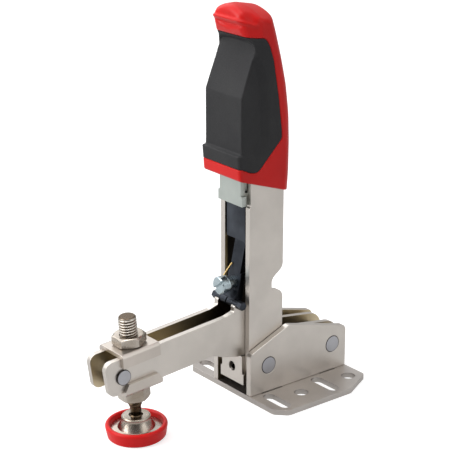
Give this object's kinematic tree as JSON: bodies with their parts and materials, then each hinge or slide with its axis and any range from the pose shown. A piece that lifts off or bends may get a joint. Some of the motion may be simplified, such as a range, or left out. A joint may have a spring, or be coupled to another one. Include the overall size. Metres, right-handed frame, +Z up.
{
  "type": "toggle clamp",
  "caption": "Vertical-handle toggle clamp with a slotted base, a twin-plate arm, an adjustable threaded spindle, a swivel pad and a two-colour grip.",
  "frame": {"origin": "middle of the base plate's underside", "axes": "+X towards the tip of the clamping arm, +Y to the clamp's side, +Z up along the closed handle"},
  "size_m": [0.1306, 0.069, 0.1842],
  "materials": {
    "nickel_sheet": "satin nickel-plated sheet",
    "zinc_rivet": "plain rivet steel",
    "zinc_bright": "bright zinc",
    "black_steel": "blackened steel",
    "red_plastic": "moulded plastic, fine grain",
    "soft_black": "soft matt moulding",
    "red_rubber": "smooth rubber",
    "spring_steel": "yellowed spring wire"
  },
  "bodies": {
    "base": {"base_plate": "nickel_sheet", "bracket_wall_right": "nickel_sheet", "bracket_wall_left": "nickel_sheet", "front_bridge": "nickel_sheet", "handle_pivot_rivet": "zinc_rivet", "arm_pivot_rivet": "zinc_rivet", "pivot_spacer_right": "zinc_rivet", "pivot_spacer_left": "zinc_rivet"},
    "handle": {"handle_plate_right": "nickel_sheet", "handle_plate_left": "nickel_sheet", "handle_tang": "nickel_sheet", "grip_rivet_lower": "zinc_rivet", "grip_rivet_upper": "zinc_rivet", "grip_shell": "red_plastic", "grip_insert": "soft_black", "guide_block": "black_steel", "lever_pin": "zinc_rivet"},
    "arm": {"arm_plate_right": "nickel_sheet", "arm_plate_left": "nickel_sheet", "arm_hub_tube": "zinc_rivet", "arm_tip_rivet": "zinc_rivet", "arm_trunnion_right": "black_steel", "arm_trunnion_left": "black_steel"},
    "lever": {"pressure_lever": "black_steel", "spring_wire": "spring_steel"},
    "screw": {"adjusting_screw": "zinc_bright", "screw_collar": "zinc_bright"},
    "spindle_holder": {"upper_saddle": "zinc_bright", "lower_saddle": "zinc_bright", "top_nut": "zinc_bright", "lower_nut": "zinc_bright"},
    "spindle": {"spindle": "zinc_bright"},
    "pad": {"pad_cup": "zinc_bright", "pad_cap": "red_rubber"}
  },
  "joints": [
    {"name": "handle_swing", "type": "hinge", "parent": "base", "child": "handle", "pos_m": [0.018, 0, 0.0153], "axis": [0, -1, 0], "range_deg": [0, 77.7]},
    {"name": "arm_swing", "type": "hinge", "parent": "base", "child": "arm", "pos_m": [-0.0204, 0, 0.0153], "axis": [0, -1, 0], "range_deg": [0, 90]},
    {"name": "lever_swing", "type": "hinge", "parent": "handle", "child": "lever", "pos_m": [0.0208, 0, 0.08], "axis": [0, 1, 0], "range_deg": [0, 6]},
    {"name": "screw_turn", "type": "hinge", "parent": "lever", "child": "screw", "pos_m": [0.03, 0, 0.054], "axis": [1, 0, 0], "continuous": true},
    {"name": "holder_slide", "type": "slide", "parent": "arm", "child": "spindle_holder", "axis": [-0.9969, 0, 0.0785], "range_m": [-0.0024, 0.026]},
    {"name": "spindle_slide", "type": "slide", "parent": "spindle_holder", "child": "spindle", "axis": [0.0785, 0, 0.9969], "range_m": [-0.006, 0.004]},
    {"name": "pad_tilt", "type": "hinge", "parent": "spindle", "child": "pad", "pos_m": [0.08186, 0, 0.0029], "axis": [0, 1, 0], "range_deg": [-6, 6]}
  ],
  "couplings": [
    {"joint": "arm_swing", "follows": "handle_swing", "ratio": 1.1583}
  ]
}
